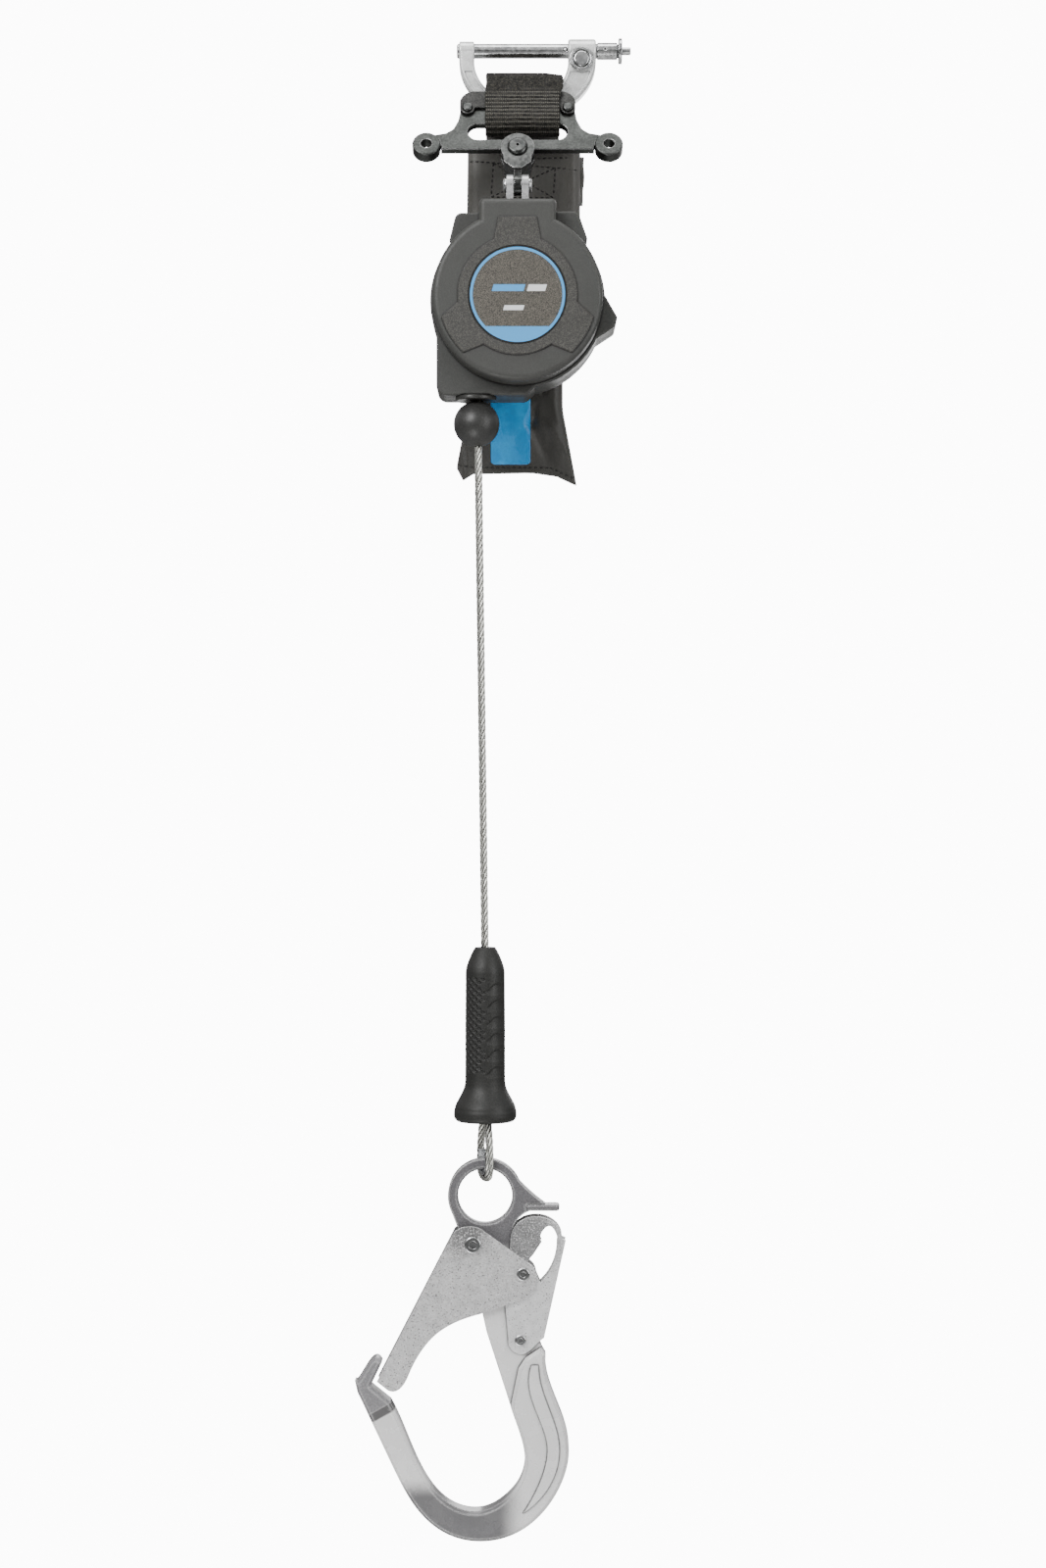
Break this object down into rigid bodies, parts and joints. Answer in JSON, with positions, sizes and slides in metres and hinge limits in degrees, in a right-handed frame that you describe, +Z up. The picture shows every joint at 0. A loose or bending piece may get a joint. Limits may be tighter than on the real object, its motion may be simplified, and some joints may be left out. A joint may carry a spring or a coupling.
{
  "type": "self retracting lifeline",
  "caption": "Compact cable lifeline: pinned shackle, energy absorber sleeve, swivel yoke, spring drum housing, ball stop, hand grip and large double locking hook.",
  "frame": {"origin": "on the axis of the connector pin, midway between the part's own left and right, at the top of the lifeline", "axes": "+X along the connector pin towards its collar, -Y the front with the label, +Z up"},
  "size_m": [0.1699, 0.0881, 0.9285],
  "materials": {
    "zinc_plate": "bright zinc plate, lightly rough",
    "blasted_steel": "grit blasted and zinc plated, dull grey",
    "dark_steel": "dark phosphate finish",
    "plain_steel": "plain zinc plate",
    "spring_steel": "drawn spring wire and strip",
    "black_webbing": "woven black polyester webbing",
    "coated_fabric": "black coated woven fabric",
    "housing_plastic": "matte charcoal moulding",
    "label_plastic": "printed film, dark taupe grey with a blue ring",
    "cast_alloy": "as cast or pressed",
    "bearing_plastic": "natural acetal",
    "wire_rope": "bright galvanised strand",
    "galvanised_steel": "galvanised",
    "black_rubber": "moulded black rubber, satin",
    "forged_alloy": "forged and polished, satin"
  },
  "bodies": {
    "shackle": {"shackle_body": "zinc_plate", "button_bezel": "zinc_plate", "button_spring": "spring_steel"},
    "connector_pin": {"connector_pin": "zinc_plate", "detent_balls": "zinc_plate", "collar_roll_pin": "zinc_plate", "plunger_spring": "spring_steel"},
    "pin_plunger": {"pin_plunger": "zinc_plate"},
    "lock_button": {"lock_button": "zinc_plate"},
    "sling": {"webbing_loop": "black_webbing", "absorber_pack": "black_webbing", "absorber_sleeve": "coated_fabric"},
    "yoke": {"yoke_plate": "blasted_steel", "keeper_plate": "dark_steel", "keeper_rivets": "zinc_plate"},
    "hanger": {"hanger": "zinc_plate", "swivel_rivet": "zinc_plate"},
    "link": {"swivel_clevis": "zinc_plate", "link_pin": "zinc_plate", "swivel_nut": "zinc_plate"},
    "housing": {"front_cover": "housing_plastic", "rear_cover": "housing_plastic", "cover_screws": "plain_steel", "label_plate": "label_plastic", "front_side_plate": "plain_steel", "rear_side_plate": "plain_steel", "swivel_bridge": "plain_steel", "frame_spacers": "plain_steel", "drum_shaft": "plain_steel", "shaft_clip": "plain_steel", "spring_case": "plain_steel", "power_spring": "spring_steel", "ratchet_ring": "dark_steel", "cable_nozzle": "housing_plastic", "lead_in_cable": "wire_rope", "payout_cable": "wire_rope"},
    "drum": {"drum": "cast_alloy", "spring_arbor": "plain_steel", "drum_bush": "bearing_plastic", "wound_lifeline": "wire_rope", "pawl_pins": "dark_steel"},
    "pawl_a": {"pawl_a": "dark_steel"},
    "pawl_b": {"pawl_b": "dark_steel"},
    "line": {"ball_stop": "black_rubber", "stop_ferrule": "cast_alloy", "lifeline_cable": "wire_rope", "handle_grip": "black_rubber", "swage_ferrule": "cast_alloy", "cable_eye": "wire_rope", "thimble": "galvanised_steel"},
    "hook": {"hook_frame": "forged_alloy", "gate_rivet": "zinc_plate", "lever_rivet": "zinc_plate", "gate_springs": "spring_steel", "lever_spring": "spring_steel"},
    "gate": {"gate": "blasted_steel", "gate_lock_pin": "zinc_plate"},
    "lever": {"lock_lever": "blasted_steel"}
  },
  "joints": [
    {"name": "pin_pull", "type": "slide", "parent": "shackle", "child": "connector_pin", "axis": [1, 0, 0], "range_m": [0, 0.07]},
    {"name": "plunger_press", "type": "slide", "parent": "connector_pin", "child": "pin_plunger", "axis": [-1, 0, 0], "range_m": [0, 0.0025], "stiffness_N_per_m": 600, "springref_m": -0.004, "deforming": ["plunger_spring"]},
    {"name": "lock_button_press", "type": "slide", "parent": "shackle", "child": "lock_button", "axis": [0, 1, 0], "range_m": [0, 0.0015], "stiffness_N_per_m": 800, "springref_m": -0.002, "deforming": ["button_spring"]},
    {"name": "sling_swing", "type": "hinge", "parent": "shackle", "child": "sling", "pos_m": [0, 0, -0.03], "axis": [1, 0, 0], "range_deg": [-6, 6], "stiffness_Nm_per_rad": 10, "springref_deg": -3.47},
    {"name": "yoke_swing", "type": "hinge", "parent": "sling", "child": "yoke", "pos_m": [0, -0.023, -0.053], "axis": [1, 0, 0], "range_deg": [-2, 2], "stiffness_Nm_per_rad": 6, "springref_deg": -2.17},
    {"name": "hanger_swing", "type": "hinge", "parent": "yoke", "child": "hanger", "pos_m": [0, -0.03211, -0.07253], "axis": [0, -0.9063, 0.4226], "range_deg": [-20, 20]},
    {"name": "link_swing", "type": "hinge", "parent": "hanger", "child": "link", "pos_m": [0, -0.041, -0.094], "axis": [1, 0, 0], "range_deg": [-25, 2]},
    {"name": "housing_turn", "type": "hinge", "parent": "link", "child": "housing", "pos_m": [0, -0.041, -0.12], "axis": [0, 0, 1], "range_deg": [-10, 10]},
    {"name": "line_payout", "type": "slide", "parent": "housing", "child": "line", "axis": [0.0133, 0, -0.9999], "range_m": [0, 1.4933], "stiffness_N_per_m": 3, "springref_m": -4, "deforming": ["payout_cable"]},
    {"name": "drum_turn", "type": "hinge", "parent": "housing", "child": "drum", "pos_m": [0, -0.037, -0.165], "axis": [0, 1, 0], "range_deg": [-2880, 0], "deforming": ["power_spring"]},
    {"name": "pawl_a_swing", "type": "hinge", "parent": "drum", "child": "pawl_a", "pos_m": [0.0255, -0.0255, -0.177], "axis": [0, 1, 0], "range_deg": [0, 20], "stiffness_Nm_per_rad": 0.02, "springref_deg": -28.65},
    {"name": "pawl_b_swing", "type": "hinge", "parent": "drum", "child": "pawl_b", "pos_m": [-0.0255, -0.0255, -0.153], "axis": [0, 1, 0], "range_deg": [0, 20], "stiffness_Nm_per_rad": 0.02, "springref_deg": -28.65},
    {"name": "hook_swing", "type": "hinge", "parent": "line", "child": "hook", "pos_m": [-0.0198, -0.037, -0.696], "axis": [0, 1, 0], "range_deg": [-25, 25]},
    {"name": "gate_open", "type": "hinge", "parent": "hook", "child": "gate", "pos_m": [-0.0272, -0.037, -0.7393], "axis": [0, 1, 0], "range_deg": [-38, 0], "stiffness_Nm_per_rad": 0.3, "springref_deg": 57.3, "deforming": ["gate_springs"]},
    {"name": "lever_squeeze", "type": "hinge", "parent": "hook", "child": "lever", "pos_m": [0.0017, -0.037, -0.7978], "axis": [0, 1, 0], "range_deg": [-10, 0], "stiffness_Nm_per_rad": 0.3, "springref_deg": 28.65, "deforming": ["lever_spring"]}
  ],
  "couplings": [
    {"joint": "drum_turn", "follows": "line_payout", "rad_per_m": -33.66},
    {"joint": "lever_squeeze", "follows": "gate_open", "ratio": 0.263}
  ]
}
